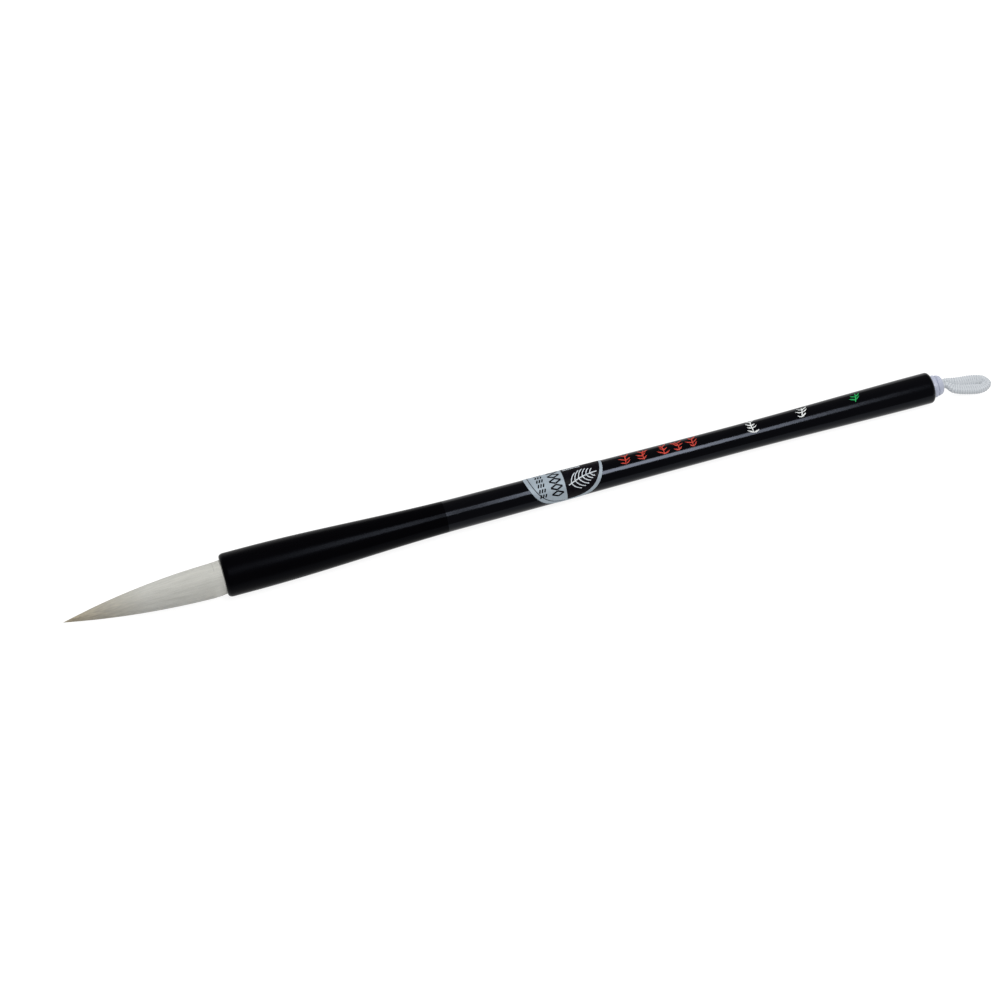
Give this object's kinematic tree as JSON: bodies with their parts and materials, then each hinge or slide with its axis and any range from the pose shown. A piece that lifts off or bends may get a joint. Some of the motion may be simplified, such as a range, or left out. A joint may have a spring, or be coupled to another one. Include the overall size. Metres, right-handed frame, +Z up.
{
  "type": "calligraphy brush",
  "caption": "Calligraphy brush with a black lacquered flared handle, a pointed white hair tuft that bends, a wrapped label and a cord loop at the tail.",
  "frame": {"origin": "on the surface that the brush lies on, under the middle of the brush from hair tip to tail plug", "axes": "+X along the brush from the hair towards the tail, in line with the surface; +Z up; the brush lies on its flare and its tail ring, so its own axis drops 0.49 degrees towards the tail"},
  "size_m": [0.2729, 0.012, 0.0121],
  "materials": {
    "lacquered_wood": "turned wood under glossy black lacquer",
    "silver_film": "printed silver film, satin",
    "root_resin": "burnt hair ends fused with resin",
    "thread": "waxed hemp thread",
    "core_hair": "long stiff animal hair",
    "white_hair": "straight white goat hair set to a point",
    "white_plastic": "moulded white plastic, satin",
    "white_cord": "white ribbed braid"
  },
  "bodies": {
    "handle": {"mouth_sleeve": "lacquered_wood", "shaft": "lacquered_wood", "price_label": "silver_film", "hair_root_seal": "root_resin", "binding_thread": "thread", "core_hair_root": "core_hair", "cover_hair_root": "white_hair", "tail_plug": "white_plastic", "cord_knot": "white_cord", "cord_stem": "white_cord"},
    "tuft_belly": {"core_hair_belly": "core_hair", "cover_hair_belly": "white_hair"},
    "tuft_point": {"core_hair_point": "core_hair", "cover_hair_point": "white_hair"},
    "loop": {"hanging_loop": "white_cord"}
  },
  "joints": [
    {"name": "tuft_bend", "type": "hinge", "parent": "handle", "child": "tuft_belly", "pos_m": [-0.09215, 0, 0.00614], "axis": [0.0086, 0, 1], "range_deg": [-30, 30], "stiffness_Nm_per_rad": 0.004},
    {"name": "point_bend", "type": "hinge", "parent": "tuft_belly", "child": "tuft_point", "pos_m": [-0.10765, 0, 0.00628], "axis": [0.0086, 0, 1], "range_deg": [-35, 35], "stiffness_Nm_per_rad": 0.001},
    {"name": "loop_lift", "type": "hinge", "parent": "handle", "child": "loop", "pos_m": [0.1302, 0, 0.00423], "axis": [0, -1, 0], "range_deg": [0, 90]}
  ]
}
